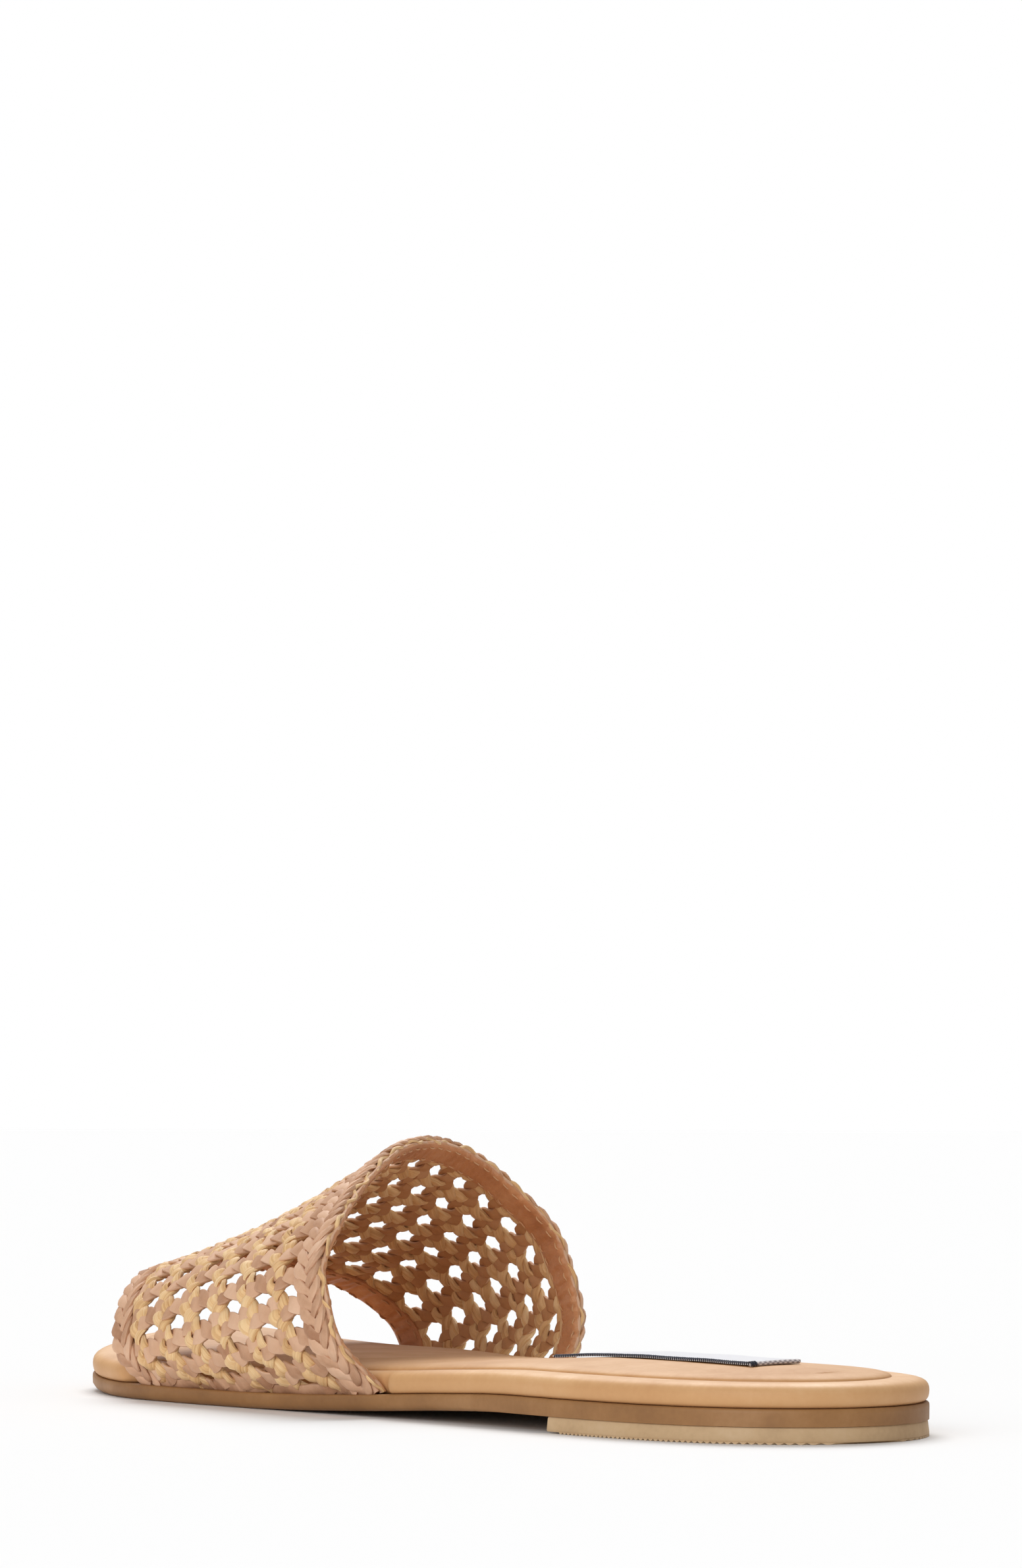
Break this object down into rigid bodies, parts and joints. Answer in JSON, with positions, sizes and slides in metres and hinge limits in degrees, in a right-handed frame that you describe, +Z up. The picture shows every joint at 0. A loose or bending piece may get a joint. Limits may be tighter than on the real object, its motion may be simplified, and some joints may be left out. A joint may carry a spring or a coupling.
{
  "type": "slide sandal",
  "caption": "Flat women's slide, left shoe: woven leather and straw band, padded footbed, thin outsole and low heel lift.",
  "frame": {"origin": "middle of the shoe's bounding box, on the floor it stands on", "axes": "+X from heel to toe, +Y to the shoe's left (lateral) side, +Z up"},
  "size_m": [0.25, 0.0946, 0.0554],
  "materials": {
    "outsole": "satin",
    "heel_lift": "matte",
    "footbed": "satin",
    "insole_pad": "satin",
    "label": "matte",
    "upper": "matte"
  },
  "bodies": {
    "root": {"outsole": "outsole", "heel_lift": "heel_lift", "footbed": "footbed", "insole_pad": "insole_pad", "label": "label", "upper": "upper"}
  },
  "joints": []
}
